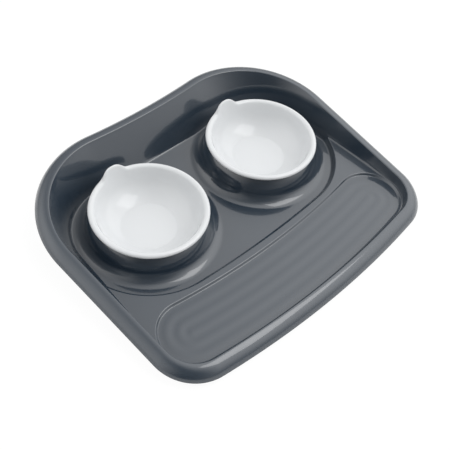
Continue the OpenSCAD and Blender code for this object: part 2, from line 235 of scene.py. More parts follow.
# %% The basin and the front panel
BASIN_R, BASIN_FRONT, LAND_W = 89.0, 92.0, 10.5
BASIN_SLOPE, BASIN_TOP_ROUND, BASIN_FOOT_ROUND = 1.9, 1.4, 2.2
PANEL_HALF, PANEL_DEPTH, PANEL_END_X, PANEL_BOW = 35.0, 2.4, 134.0, 10.0
PANEL_SLOPE, PANEL_ROUND = 2.2, 2.4
PANEL_MID_Y = BOWL_Y - BASIN_FRONT - LAND_W - PANEL_HALF

basin_bow_r = (BOWL_X ** 2 + BASIN_FRONT ** 2 - BASIN_R ** 2) / (2 * (BASIN_FRONT - BASIN_R))
basin_bow_a = math.asin(BOWL_X / (basin_bow_r - BASIN_R))
panel_bend_r = (PANEL_END_X ** 2 + PANEL_BOW ** 2) / (2 * PANEL_BOW)
panel_bend_a = math.asin(PANEL_END_X / panel_bend_r)
panel_end = panel_bend_r * np.array([math.sin(panel_bend_a), -math.cos(panel_bend_a)])


def basin_distance(xy):
    """Distance outward from the sunken basin: a circle round each stand and a bowed front."""
    x, y = np.abs(xy[:, 0]), xy[:, 1] - BOWL_Y
    bow_y = y - (basin_bow_r - BASIN_FRONT)
    round_d = np.hypot(x - BOWL_X, y) - BASIN_R
    front_d = np.hypot(x, bow_y) - basin_bow_r
    middle = np.arctan2(x, -bow_y) < basin_bow_a
    behind = (x < BOWL_X) & (y > 0)
    return np.where(behind, -BASIN_R, np.where(middle & (y < 0), front_d, round_d))


def panel_distance(xy):
    """Distance from the panel's bent middle line."""
    x, y = np.abs(xy[:, 0]), xy[:, 1] - PANEL_MID_Y - panel_bend_r
    inside = np.arctan2(x, -y) < panel_bend_a
    return np.where(inside, np.abs(np.hypot(x, y) - panel_bend_r),
                    np.hypot(x - panel_end[0], y - panel_end[1]))


print("basin's front is bowed at %.0f mm, the panel at %.0f mm" % (basin_bow_r, panel_bend_r))

# %% The panel's ribs
RIB_COUNT, RIB_PITCH, RIB_W, RIB_H, RIB_EASE = 3, 12.7, 6.4, 0.16, 2.6


def rib_height(d):
    """Low oval ribs, one inside the other, at a distance d from the panel's middle line."""
    rib = np.clip(np.round(d / RIB_PITCH), 0, RIB_COUNT - 1)
    off = np.abs(d - RIB_PITCH * rib)
    side = np.clip((off - RIB_W / 2 + RIB_EASE) / (2 * RIB_EASE), 0, 1)
    return RIB_H * (0.5 + 0.5 * np.cos(math.pi * side))


print("rib height at its middle and half a pitch away:", rib_height(np.array([0, RIB_PITCH / 2])))

# %% The stands' sizes and the dish that they hold
STAND_TOP_R, STAND_EDGE_R, STAND_FILLET_R = 61.0, 1.2, 14.5
FLARE = math.radians(16)
STAND_FOOT_R = (STAND_TOP_R + (SEAT_H - FLOOR_H - STAND_FILLET_R) * math.tan(FLARE)
                + STAND_FILLET_R / math.cos(FLARE))
LIP_R, LIP_W, LIP_H, BOWL_WALL, BOWL_FLAT_R = 63.5, 7.0, 5.0, 2.2, 31.0
WELL_PLAY, BOWL_AIR = 0.6, 0.5
WELL = BOWL_WALL + WELL_PLAY
BOWL_BOTTOM = SEAT_H - FLOOR_H - BOWL_AIR
DISH_DROP = BOWL_BOTTOM - BOWL_WALL + LIP_H
DISH_TURN = math.radians(84)
DISH_ACROSS = (LIP_R - LIP_W - BOWL_FLAT_R) / math.sin(DISH_TURN)
DISH_UP = DISH_DROP / (1 - math.cos(DISH_TURN))


def dish(out, low, high, steps):
    """Part of the dish's curve, moved outward: radius and height above the seat, rising."""
    turn = [math.acos((DISH_UP - DISH_DROP + LIP_H - z) / (DISH_UP + out)) for z in (low, high)]
    turn = np.linspace(*turn, steps + 1)
    return np.stack([BOWL_FLAT_R + (DISH_ACROSS + out) * np.sin(turn),
                     LIP_H - DISH_DROP + DISH_UP - (DISH_UP + out) * np.cos(turn)], 1)


def bend(centre, radius, start, end, steps=8):
    """Part of a circle or an ellipse in a section, as radius and height."""
    turn = np.radians(np.linspace(start, end, steps + 1))
    return np.array(centre) + radius * np.stack([np.cos(turn), np.sin(turn)], 1)


print("a stand is %.1f mm wide at its top and %.1f at its foot" % (2 * STAND_TOP_R, 2 * STAND_FOOT_R))

# %% Sections through a stand, above and below the sheet
SEAT_EDGE_START = 165
WELL_STEPS, HOLLOW_STEPS, FILLET_STEPS = 28, 24, 20
HOLLOW_TOP, HOLLOW_BEVEL_W, HOLLOW_BEVEL_H, HOLLOW_DRAFT = -9.0, 2.0, 5.0, 0.3

flare = math.degrees(FLARE)
floor_z, ground_z = FLOOR_H - SEAT_H, GROUND_GAP - SEAT_H
seat_in = dish(WELL, floor_z, -STAND_EDGE_R, 1)[-1, 0]
stand_section = np.vstack([
    [[0, floor_z]],
    dish(WELL, floor_z, -STAND_EDGE_R, WELL_STEPS),
    bend([seat_in + STAND_EDGE_R, -STAND_EDGE_R], STAND_EDGE_R, SEAT_EDGE_START, 90)[1:],
    bend([STAND_TOP_R - STAND_EDGE_R, -STAND_EDGE_R], STAND_EDGE_R, 90, flare),
    bend([STAND_FOOT_R, floor_z + STAND_FILLET_R], STAND_FILLET_R, 180 + flare, 270, FILLET_STEPS),
])
hollow_in = STAND_FOOT_R - STAND_FILLET_R / math.cos(FLARE) - WALL
hollow_section = np.vstack([
    [[0, ground_z]],
    dish(WELL + WALL, max(ground_z, LIP_H - DISH_DROP - WELL - WALL), HOLLOW_TOP, HOLLOW_STEPS),
    [[hollow_in - HOLLOW_BEVEL_W, HOLLOW_TOP], [hollow_in, HOLLOW_TOP - HOLLOW_BEVEL_H]],
    [[hollow_in + HOLLOW_DRAFT, ground_z], [STAND_FOOT_R, ground_z]],
])
print("the bowl's seat runs from a radius of %.1f to %.1f mm" % (seat_in, STAND_TOP_R))

# %% The whole height
TOP_FILLET_R, UNDER_FILLET_R = 1.6, 1.0
LEAST_SLOPE, MOST_SLOPE = 0.2, 6
FILLET_SOFTNESS, LEAST_SOFTNESS = 1.6, 0.4


def height(xy, index, out):
    """Height of the sheet: its inner face where out is 0, its underside where out is the sheet."""
    basin_d, panel_d = basin_distance(xy) - out, panel_distance(xy) - out
    floor = soft_step(basin_d, FLOOR_H - out, SHELF_H - out,
                      BASIN_SLOPE, BASIN_TOP_ROUND, BASIN_FOOT_ROUND)
    floor = floor + soft_step(panel_d - PANEL_HALF, -PANEL_DEPTH, 0.0,
                              PANEL_SLOPE, PANEL_ROUND, PANEL_ROUND)
    if not out:
        floor = floor + rib_height(panel_d)
    section = hollow_section if out else stand_section
    stand_d = np.hypot(np.abs(xy[:, 0]) - BOWL_X, xy[:, 1] - BOWL_Y)
    stand = SEAT_H + np.interp(stand_d, section[:, 0], section[:, 1])
    floor = np.where(stand_d < STAND_FOOT_R, stand, floor)
    wall, slope = wall_height(xy, index, out)
    fillet_r = UNDER_FILLET_R if out else TOP_FILLET_R
    tilt = np.arctan(np.clip(slope, LEAST_SLOPE, MOST_SLOPE))
    softness = np.tan(tilt) * np.tan(tilt / 2) * fillet_r * FILLET_SOFTNESS + LEAST_SOFTNESS
    return soft_max(floor, wall, softness)


middle = np.array([[0.0, PANEL_MID_Y]])
middle_index = nearest(foot_line, middle), nearest(rim_line, middle)
print("the panel's middle is %.2f mm above the ground" % height(middle, middle_index, 0.0)[0])

# %% [markdown]
# ## Points for the tray's mesh
# A plain grid would cut every round edge into steps. Instead the points follow the forms: rings
# up the wall, lines along each edge of the basin and the panel, and circles round each stand. A
# constrained triangulation joins them, so that the triangles' edges run along the real edges.

# %% Lines to follow
BASIN_FRONT_STEPS, BASIN_SIDE_STEPS, BASIN_END = 60, 80, 5
PANEL_STEPS, TURN_STEPS_PER_MM, LEAST_TURN_STEPS = 90, 0.9, 8


def basin_ring(away):
    """A line round the basin's front, from wall to wall."""
    bow_c, side = [0, BOWL_Y - BASIN_FRONT + basin_bow_r], -90 + math.degrees(basin_bow_a)
    front = arc(bow_c, basin_bow_r + away, -90, side, BASIN_FRONT_STEPS)
    flank = arc([BOWL_X, BOWL_Y], BASIN_R + away, side, BASIN_END, BASIN_SIDE_STEPS)
    right = np.vstack([front, flank[1:]])
    return np.vstack([right[:0:-1] * MIRROR, right])[:, POINT]


def panel_ring(half):
    """A long bent oval round the panel's middle line."""
    bend_c, side = [0, PANEL_MID_Y + panel_bend_r], math.degrees(panel_bend_a)
    turns = 2 * max(int(half * TURN_STEPS_PER_MM), LEAST_TURN_STEPS)
    near = arc(bend_c, panel_bend_r + half, -90, -90 + side, PANEL_STEPS)
    end = arc(np.array(bend_c) + panel_end, half, -90 + side, 90 + side, turns)
    far = arc(bend_c, panel_bend_r - half, -90 + side, -90, PANEL_STEPS)
    right = np.vstack([near, end[1:], far[1:]])
    return np.vstack([right, right[-2:0:-1] * MIRROR])[:, POINT]


def circle(x, radius, steps):
    """A circle round a stand's axis."""
    return arc([x, BOWL_Y], radius, 0, 360 - 360 / steps, steps - 1)[:, POINT]


print("points round the panel:", len(panel_ring(PANEL_HALF)), "and the basin:", len(basin_ring(0)))

# %% Gather the lines
# Rings lie at these shares of the way up the wall, and at these distances outward from its foot.
WALL_SHARES = (0.03, 0.08, 0.14, 0.22, 0.32, 0.45, 0.6, 0.75, 0.88, 0.96)
FOOT_RINGS = (0.0, -0.5, -1.1, -1.8, -2.7, -4.0, -7.0)
# Lines lie at these distances across the edge of the basin or the panel, times its own spread.
EDGE_SPREAD, PANEL_SPREAD, BASIN_SPREAD = 0.9, 0.95, 1.8
ACROSS_EDGE = EDGE_SPREAD * np.array([-1.9, -1.4, -1.0, -0.7, -0.4, -0.1, 0.2, 0.5, 0.8, 1.1, 1.5, 2.0])
# They lie at these distances across a rib's flank, unless the ring would be too small.
ACROSS_RIB, LEAST_RIB_R = (-1.2, -0.7, -0.25, 0.25, 0.7, 1.2), 1
# Circles round a stand get more points as they get wider, and none lie closer than the gap.
CIRCLE_STEPS, CIRCLE_STEPS_PER_MM, LEAST_CIRCLE_GAP = 96, 1.4, 0.12
MIDDLE_CIRCLES, MIDDLE_CIRCLE_STEPS = (8, 16, 24), 90


def rib_rings():
    """Lines along both flanks of every rib."""
    flanks = [rib * RIB_PITCH + side * RIB_W / 2 for rib in range(RIB_COUNT) for side in (-1, 1)]
    halves = [flank + away for flank in flanks for away in ACROSS_RIB]
    return [panel_ring(half) for half in halves if half > LEAST_RIB_R]


def stand_rings(section):
    """Circles round both stands, through the section's points and across the flat middle."""
    radii = np.unique(np.round(section[1:, 0], 2))
    radii = radii[np.concatenate([[True], np.diff(radii) > LEAST_CIRCLE_GAP])]
    rings = []
    for x in (-BOWL_X, BOWL_X):
        rings += [circle(x, r, int(CIRCLE_STEPS + CIRCLE_STEPS_PER_MM * r)) for r in radii]
        rings += [circle(x, r, MIDDLE_CIRCLE_STEPS) for r in MIDDLE_CIRCLES]
    return rings


def plan(out):
    """Points and edges in the ground plan for one face of the sheet."""
    foot, rim = shifted(foot_line, out), shifted(rim_line, out)
    rings = [rim] + [foot * (1 - share) + rim * share for share in WALL_SHARES]
    rings += [shifted(foot_line, out + away) for away in FOOT_RINGS]
    rings += [panel_ring(PANEL_HALF + out + PANEL_SPREAD * away) for away in ACROSS_EDGE]
    rings += [] if out else rib_rings()
    rings += stand_rings(hollow_section if out else stand_section)
    lines = [basin_ring(BASIN_SPREAD * away + out) for away in ACROSS_EDGE]
    points, edges = [], []
    for number, line in enumerate(rings + lines):
        first, last = len(points), len(points) + len(line) - 1
        edges += [(at, at + 1) for at in range(first, last)]
        edges += [(last, first)] if number < len(rings) else []
        points += list(line)
    return points, edges


print("lines round one stand:", len(stand_rings(stand_section)) // 2)

# %% Triangulate them
MERGE_GAP = 1e-5


def triangulate(out):
    """A mesh in the ground plan, kept inside the rim's inner edge."""
    points, edges = plan(out)
    made = delaunay_2d_cdt([Vector(p) for p in points], edges, [], 0, MERGE_GAP)
    xy, faces = np.array([tuple(v) for v in made[0]]), np.array(made[2])
    centres = xy[faces].mean(1)
    gap, _ = distance(rim_line, nearest(rim_line, centres), centres)
    used, faces = np.unique(faces[gap < out], return_inverse=True)
    return xy[used], faces.reshape(-1, 3)


top_xy, top_faces = triangulate(0.0)
under_xy, under_faces = triangulate(WALL)
print("inner face: %d points, %d triangles" % (len(top_xy), len(top_faces)))
print("underside: %d points, %d triangles" % (len(under_xy), len(under_faces)))

# %% Lift the points
ASIDE = 0.01


def lifted(xy, out):
    """Each point at its height, and the surface's own direction there, from tiny steps aside."""
    index = nearest(foot_line, xy), nearest(rim_line, xy)
    slope = [(height(xy + move, index, out) - height(xy - move, index, out)) / (2 * ASIDE)
             for move in (np.array([ASIDE, 0]), np.array([0, ASIDE]))]
    normal = np.stack([-slope[0], -slope[1], np.ones(len(xy))], 1)
    normal /= np.linalg.norm(normal, axis=1)[:, None]
    return np.column_stack([xy, height(xy, index, out)]), normal


top_points, top_normals = lifted(top_xy, 0.0)
under_points, under_normals = lifted(under_xy, WALL)
print("inner face from %.1f to %.1f mm high" % (top_points[:, 2].min(), top_points[:, 2].max()))

# %% [markdown]
# ## The rolled rim
# The rim curls outward and down from the wall's top edge and ends in a rounded hem. Its section
# could follow a bevelled curve object, but its rounded inner edge has to meet the wall at the
# wall's own tilt, which changes all the way round. So the section is swept by hand, and joined to
# both faces of the sheet, so that the tray is one closed mesh.

# %% The rim's section
ROLL_STEPS, UNDER_STEPS, ROLL_END_SHARE, UNDER_START_SHARE = 24, 16, 0.985, 0.96
HEM_ROUND, HEM_INNER_ROUND = 0.35, 0.5
EDGE_ROWS = 7

roll_in = RIM_W - RIM_EDGE_R
roll_r = (roll_in ** 2 + RIM_DROP ** 2) / (2 * RIM_DROP)
roll_a = math.asin(roll_in / roll_r)
under_a = math.asin((roll_in - WALL) / (roll_r - WALL))


def roll(radius, start, end, steps):
    """Part of the rim's curl, as far out from its inner edge and down from its top."""
    turn = np.linspace(start, end, steps + 1)
    return np.stack([RIM_EDGE_R + radius * np.sin(turn), roll_r - radius * np.cos(turn)], 1)


def edge_rows():
    """The rounded inner edge, out and down at every station, from the wall's own tilt to level."""
    tilt = np.arctan(rim_slope)
    rows = [(0.0, edge_drop(np.tan(tilt)))]
    for row in range(1, EDGE_ROWS):
        turn = math.pi / 2 - tilt * (EDGE_ROWS - row) / (EDGE_ROWS - 1)
        rows.append((RIM_EDGE_R * (1 - np.cos(turn))[:, None], RIM_EDGE_R * (1 - np.sin(turn))))
    return rows


roll_section = np.vstack([
    roll(roll_r, 0, roll_a * ROLL_END_SHARE, ROLL_STEPS),
    [[RIM_W, RIM_DROP - HEM_ROUND], [RIM_W - HEM_ROUND, RIM_DROP]],
    [[RIM_W - WALL + HEM_INNER_ROUND, RIM_DROP], [RIM_W - WALL, RIM_DROP - HEM_INNER_ROUND]],
    roll(roll_r - WALL, under_a * UNDER_START_SHARE, 0, UNDER_STEPS),
    [[WALL, WALL + RIM_EDGE_R]],
])
rim_rows = edge_rows() + list(roll_section)
print("rim: %d points in its section, curled at %.1f mm" % (len(rim_rows), roll_r))

# %% Sweep it round the outline
sweep = np.empty((len(rim_rows), STATIONS, 3))
for row, (away, down) in enumerate(rim_rows):
    sweep[row, :, :2] = shifted(rim_line, away)
    sweep[row, :, 2] = rim_z(sweep[row, :, 1]) - down
along = np.roll(sweep, -1, 1) - np.roll(sweep, 1, 1)
across = np.gradient(sweep, axis=0)
rim_normals = np.cross(along, across)
rim_normals /= -np.linalg.norm(rim_normals, axis=2)[:, :, None]
print("rim from %.1f to %.1f mm high" % (sweep[..., 2].min(), sweep[..., 2].max()))

# %% Join the faces into one mesh
# The order of a face's corners that turns it over, so that the rim's faces look outward.
TURNED_OVER = [0, 3, 2, 1]


def matched(points, row):
    """The index of each of the row's points among the face's own."""
    found = np.array([np.argmin(((points - point) ** 2).sum(1)) for point in row])
    print("largest gap at a join: %.5f mm" % np.abs(points[found] - row).max())
    return found


def ring_quads(grid):
    """Faces between each row of point numbers and the next, all the way round."""
    following = np.roll(grid, -1, axis=1)
    return np.stack([grid[:-1], following[:-1], following[1:], grid[1:]], 2).reshape(-1, 4)


top_edge = matched(top_points, sweep[0])
under_edge = matched(under_points, sweep[-1]) + len(top_points)
between = sweep[1:-1].reshape(-1, 3)
between_rows = np.arange(len(between)).reshape(-1, STATIONS) + len(top_points) + len(under_points)
rim_faces = ring_quads(np.vstack([top_edge, between_rows, under_edge]))[:, TURNED_OVER]
tray_points = np.vstack([top_points, under_points, between])
tray_normals = np.vstack([top_normals, -under_normals, rim_normals[1:-1].reshape(-1, 3)])
tray_normals[top_edge] = rim_normals[0]
tray_normals[under_edge] = rim_normals[-1]
tray_faces = [*top_faces, *(under_faces[:, ::-1] + len(top_points)), *rim_faces]
print("tray: %d points, %d faces" % (len(tray_points), len(tray_faces)))

# %% Make meshes from arrays
def add_mesh(name, points, faces, normals=None):
    """A smooth mesh object in metres, with its own normals where they are known."""
    mesh = bpy.data.meshes.new(name)
    mesh.from_pydata((points * MM).tolist(), [], [tuple(int(i) for i in face) for face in faces])
    mesh.validate()
    mesh.shade_smooth()
    if normals is not None:
        mesh.normals_split_custom_set_from_vertices(normals.tolist())
    made = bpy.data.objects.new(name, mesh)
    bpy.context.scene.collection.objects.link(made)
    print(name, "has", len(mesh.polygons), "faces")
    return made


tray = add_mesh("moulded_tray", tray_points, tray_faces, tray_normals)
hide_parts("tray")
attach(tray, "base")

# %% [markdown]
# ## The bowls
# A bowl is turned from one section: a flat bottom, a dish and a thick rounded lip. A screw
# modifier could turn it, but then its lifting tab would need a seam. Here the tab is the same
# section drawn up into an ear: over a short arc at the back, each point of the turned section moves
# to its own place on the ear's section, so the dish's inside flows up into the ear.

# %% Helpers for sections
def curve(first, second, third, fourth, steps):
    """A smooth line from the first point to the fourth, drawn towards the two between them."""
    t = np.linspace(0, 1, steps + 1)[:, None]
    return ((1 - t) ** 3 * first + 3 * (1 - t) ** 2 * t * second
            + 3 * (1 - t) * t ** 2 * third + t ** 3 * fourth)


def toward(angle, length):
    """A step of a given length in a direction of the section, in degrees above level."""
    return length * np.array([math.cos(math.radians(angle)), math.sin(math.radians(angle))])


def evenly(line, steps):
    """Evenly spaced points along a line."""
    at = np.concatenate([[0], np.cumsum(np.hypot(*np.diff(line, axis=0).T))])
    even = np.linspace(0, at[-1], steps)
    return np.stack([np.interp(even, at, line[:, column]) for column in (0, 1)], 1)


print("a step of 2 mm at 30 degrees:", toward(30, 2).round(2))

# %% The bowl's section
CREST_IN, EDGE_DEPTH, EDGE_END = 3.0, 3.5, 160
FLAT_R, FOOT_SLOPE, TOP_SLOPE, FOOT_ROUND = 30.5, 20, 67, 6.0
FOOT_PULL, TOP_PULL, FLAT_RINGS = 25, 9, (10, 20)
UNDER_DISH_STEPS, CREST_STEPS, EDGE_STEPS, SIDE_STEPS = 20, 20, 14, 60

lip_middle, dish_top = LIP_H / 2, LIP_H - EDGE_DEPTH
crest_size, edge_size = np.array([CREST_IN, lip_middle]), np.array([LIP_W - CREST_IN, EDGE_DEPTH])
lip = np.vstack([bend([LIP_R - CREST_IN, lip_middle], crest_size, -90, 90, CREST_STEPS),
                 bend([LIP_R - CREST_IN, dish_top], edge_size, 90, EDGE_END, EDGE_STEPS)[1:]])
dish_foot, dish_head = np.array([FLAT_R, LIP_H - DISH_DROP]), lip[-1]
side_line = curve(dish_foot, dish_foot + toward(FOOT_SLOPE, FOOT_PULL),
                  dish_head - toward(TOP_SLOPE, TOP_PULL), dish_head, SIDE_STEPS)[:-1]
half_slope = math.tan(math.radians(FOOT_SLOPE / 2))
round_c = dish_foot + FOOT_ROUND * half_slope * np.array([-1, 0]) + [0, FOOT_ROUND]
round_end = round_c[0] + FOOT_ROUND * math.sin(math.radians(FOOT_SLOPE))
inside = np.vstack([bend(round_c, FOOT_ROUND, -90, FOOT_SLOPE - 90)[:-1],
                    side_line[side_line[:, 0] > round_end]])[::-1]
flat = np.array([[radius, 0] for radius in FLAT_RINGS], float)
below = np.vstack([flat - [0, BOWL_BOTTOM], dish(BOWL_WALL, -BOWL_BOTTOM, 0, UNDER_DISH_STEPS)])
section = np.vstack([below, lip, inside, flat[::-1] + [0, LIP_H - DISH_DROP]])
print("the bowl's section has %d points, and its dish is %.1f mm deep" % (len(section), DISH_DROP))

# %% The ear's section
EAR_ROOT, EAR_UP, EAR_OUT, EAR_R, EAR_LEAN = 3.5, 10.5, 0.2, 1.5, 70
EAR_CREST_END, EAR_CREST_STEPS, EAR_FACE_STEPS = 160, 12, 30
LIP_BELOW_EAR, DISH_IN_EAR = 9, 26

ear_top = EAR_ROOT + EAR_UP
join = inside[DISH_IN_EAR]
slope = inside[DISH_IN_EAR - 1] - join
slope /= np.hypot(*slope)
crest = bend([LIP_R + EAR_OUT - EAR_R, ear_top - EAR_R], EAR_R, 0, EAR_CREST_END, EAR_CREST_STEPS)
reach = np.hypot(*(crest[-1] - join)) / 3
ear_face = curve(crest[-1], crest[-1] - toward(EAR_LEAN, reach), join + slope * reach, join,
                 EAR_FACE_STEPS)
ear = evenly(np.vstack([lip[:LIP_BELOW_EAR], crest, ear_face[1:]]), len(lip) + DISH_IN_EAR + 1)
ear_section = section.copy()
ear_section[len(below):len(below) + len(ear)] = ear
print("the ear rises %.1f mm above the lip" % (ear_top - LIP_H))

# %% Turn the bowls
TURNS = 360
EAR_HALF, EAR_BREADTH, EAR_EASE = math.radians(20), 1.4, 0.2


def ear_share():
    """The angles of the turned section, and how far each has moved to the ear's own section."""
    turn = np.linspace(0, 2 * math.pi, TURNS, endpoint=False)
    off = np.abs(np.arctan2(np.sin(turn - math.pi / 2), np.cos(turn - math.pi / 2))) / EAR_HALF
    rise = np.cos(math.pi / 2 * np.minimum(off, 1) ** EAR_BREADTH) ** 2
    above_lip = (rise * EAR_UP + EAR_ROOT - LIP_H) / (ear_top - LIP_H)
    return turn, np.where(off < 1, soft_max(above_lip, np.zeros(TURNS), EAR_EASE), 0)


def bowl_mesh(name, x):
    """The turned section, with the ear's section blended in round the back."""
    turn, share = ear_share()
    share = share[None, :, None]
    rows = section[:, None, :] * (1 - share) + ear_section[:, None, :] * share
    points = np.stack([x + rows[..., 0] * np.cos(turn), BOWL_Y + rows[..., 0] * np.sin(turn),
                       SEAT_H + rows[..., 1]], 2)
    grid = np.arange(len(section) * TURNS).reshape(-1, TURNS)
    return add_mesh(name, points.reshape(-1, 3), [*ring_quads(grid), grid[0, ::-1], grid[-1]])


bowls = {}
for side, x in (("left", -BOWL_X), ("right", BOWL_X)):
    bowl = bowl_mesh("bowl_" + side + "_turned", x)
    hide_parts("bowl_" + side)
    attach(bowl, "bowl_" + side)
    bowls[side] = bowl

# %% [markdown]
# ## The rubber feet
# The four feet keep the CAD model's own shape, which is a short chamfered disc. They are hardly
# seen, so a finer mesh would add nothing, and they only need a better material further down.

# %% Find the feet
feet = [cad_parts[name] for name in sorted(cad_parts) if name.startswith("foot")]
print("feet:", [foot.name for foot in feet])

# %% [markdown]
# ## Shader maths as Python
# A material's maths reads better as an expression than as a list of links. This small class wraps
# one output socket; adding or multiplying it makes the Math node and returns that node's output.
# The reflected forms are there too, so that a number may come first, as in 1 - mask.

# %% A socket that can be used in expressions
class Socket:
    """One output of a node, in a graph that adds Math nodes for the sums that it is used in."""
    def __init__(self, graph, link):
        self.graph, self.link = graph, link

    def combine(self, operation, first, second):
        """The output of a new Math node for two sockets, or for a socket and a number."""
        return self.graph.node("ShaderNodeMath", {"operation": operation}, {0: first, 1: second})

    def __add__(self, other):
        return self.combine("ADD", self, other)

    def __radd__(self, other):
        return self.combine("ADD", other, self)

    def __sub__(self, other):
        return self.combine("SUBTRACT", self, other)

    def __rsub__(self, other):
        return self.combine("SUBTRACT", other, self)

    def __mul__(self, other):
        return self.combine("MULTIPLY", self, other)

    def __rmul__(self, other):
        return self.combine("MULTIPLY", other, self)


print("a socket's operators:", [name for name in vars(Socket) if name[-5:-2] in ("add", "sub", "mul")])

# %% Node graphs
class Graph:
    """A node tree with one way to add any node."""
    def __init__(self, tree):
        self.tree = tree

    def node(self, kind, settings=None, inputs=None, output=0):
        """A node of a kind, with its settings made first, then its sockets' values or links."""
        made = self.tree.nodes.new(kind)
        for key, value in (settings or {}).items():
            setattr(made, key, value)
        for key, value in (inputs or {}).items():
            if isinstance(value, Socket):
                self.tree.links.new(value.link, made.inputs[key])
            else:
                made.inputs[key].default_value = value
        return Socket(self, made.outputs[output])

    def feed(self, node, name, value):
        """Link a value to a socket of a node that is already there."""
        self.tree.links.new(value.link, self.tree.nodes[node].inputs[name])

    def range(self, value, low, high, to_low, to_high, kind="LINEAR"):
        """A value taken from one range to another, and held at its ends."""
        return self.node("ShaderNodeMapRange", {"interpolation_type": kind},
                         {"Value": value, "From Min": low, "From Max": high,
                          "To Min": to_low, "To Max": to_high})

    def noise(self, scale, detail, rough):
        """Soft random clouds, fixed to the object, with so many to a metre."""
        place = self.node("ShaderNodeTexCoord", output=3)
        return self.node("ShaderNodeTexNoise", {}, {"Vector": place, "Scale": scale,
                                                    "Detail": detail, "Roughness": rough})

    def mix(self, share, first, second):
        """A colour between two others."""
        return self.node("ShaderNodeMix", {"data_type": "RGBA"},
                         {"Factor": share, "A": first, "B": second}, 2)


print("a graph can make:", [name for name in vars(Graph) if not name.startswith("_")])

# %% Materials
SHADER = "Principled BSDF"


class Finish(Graph):
    """A material with one Principled shader, whose plain values are given by name."""
    def __init__(self, name, **plain):
        self.data = bpy.data.materials.new(name)
        self.data.use_nodes = True
        super().__init__(self.data.node_tree)
        for socket, value in plain.items():
            self.tree.nodes[SHADER].inputs[socket.replace("_", " ")].default_value = value

    def coat(self, name, value):
        """Let a value vary over the surface."""
        self.feed(SHADER, name, value)

    def bump(self, value, depth, strength=1.0):
        """Let a value stand for tiny heights."""
        self.coat("Normal", self.node("ShaderNodeBump", {}, {"Height": value, "Distance": depth,
                                                             "Strength": strength}))


print("a finish can:", [name for name in vars(Finish) if not name.startswith("_")])

# %% [markdown]
# ## Slate plastic
# The tray is slate grey plastic that is satin within and glossy at its skin: it shows soft, broad
# sheen and sharp reflections at once. One rough shader would lose the sharp ones and one smooth
# shader the soft ones, so a coat lies over a rougher base. The colour is faintly cloudy, fine
# scuffs change how sharply it reflects, and a slight waviness, as thin moulded sheet always has,
# bends the reflections.

# %% Slate plastic
SLATE_DARK, SLATE_LIGHT = (0.014, 0.027, 0.044, 1), (0.017, 0.031, 0.049, 1)
CLOUD_SHARE, WAVE_SHARE, SPECK_SHARE = 0.7, 0.8, 0.02

slate = Finish("slate_gloss_plastic", IOR=1.55, Coat_Weight=1.0, Coat_IOR=1.65, Coat_Roughness=0.06)
cloud = slate.noise(scale=9.0, detail=4.0, rough=0.55)
speck = slate.noise(scale=420.0, detail=2.0, rough=0.6)
blotch = cloud * CLOUD_SHARE + speck * (1 - CLOUD_SHARE)
slate.coat("Base Color", slate.mix(blotch, SLATE_DARK, SLATE_LIGHT))
scuff = slate.noise(scale=60.0, detail=6.0, rough=0.7)
slate.coat("Roughness", slate.range(scuff, low=0.35, high=0.7, to_low=0.30, to_high=0.38))
wave = slate.noise(scale=14.0, detail=2.0, rough=0.4)
slate.bump(wave * WAVE_SHARE + speck * SPECK_SHARE, depth=0.0004, strength=0.35)
tray.data.materials.append(slate.data)
print(slate.data.name, "has", len(slate.tree.nodes), "nodes")

# %% [markdown]
# ## White plastic
# The bowls are a plain glossy white plastic, with small square highlights in their dishes. Light
# that scatters inside the plastic would suit a thick bowl, but it darkens a thin one, so the
# surface is opaque, with a coolish white that varies very little.

# %% White plastic
MILK_DARK, MILK_LIGHT = (0.712, 0.730, 0.742, 1), (0.732, 0.746, 0.758, 1)

white = Finish("white_gloss_plastic", IOR=1.49)
milk = white.noise(scale=12.0, detail=3.0, rough=0.5)
white.coat("Base Color", white.mix(milk, MILK_DARK, MILK_LIGHT))
polish = white.noise(scale=70.0, detail=5.0, rough=0.7)
white.coat("Roughness", white.range(polish, low=0.35, high=0.7, to_low=0.06, to_high=0.11))
white.bump(white.noise(scale=18.0, detail=2.0, rough=0.4), depth=0.0003, strength=0.25)
for bowl in bowls.values():
    bowl.data.materials.append(white.data)
print(white.data.name, "has", len(white.tree.nodes), "nodes")

# %% [markdown]
# ## Matt rubber
# The feet are black rubber, which scatters nearly all light that it doesn't swallow. One fine
# grain drives its colour, its roughness and its bumps, because on real rubber they go together.

# %% Matt rubber
RUBBER_DARK, RUBBER_LIGHT = (0.018, 0.018, 0.019, 1), (0.035, 0.035, 0.037, 1)

rubber = Finish("matt_rubber", IOR=1.5)
grain = rubber.noise(scale=900.0, detail=3.0, rough=0.6)
rubber.coat("Base Color", rubber.mix(grain, RUBBER_DARK, RUBBER_LIGHT))
rubber.coat("Roughness", rubber.range(grain, low=0.3, high=0.7, to_low=0.70, to_high=0.88))
rubber.bump(grain, depth=0.00008)
for foot in feet:
    foot.data.materials.clear()
    foot.data.materials.append(rubber.data)
print(rubber.data.name, "has", len(rubber.tree.nodes), "nodes")

# %% [markdown]
# ## Floor
# The photograph has a pure white background, with no horizon. A white floor alone would be grey
# where less light reaches it. So every ray but the camera's meets pale paper, which lights the
# tray from below as a real floor does, and what the camera sees is nine parts of plain white
# glow and one part of the lit paper, which keeps a trace of the object's shadow.

# %% Floor
FLOOR_HALF, FLOOR_GAP = 6000.0, 0.2
WHITE_GLOW, GLOW_SHARE = 1.05, 0.9
PAPER_DARK, PAPER_LIGHT = (0.79, 0.79, 0.79, 1), (0.81, 0.81, 0.81, 1)

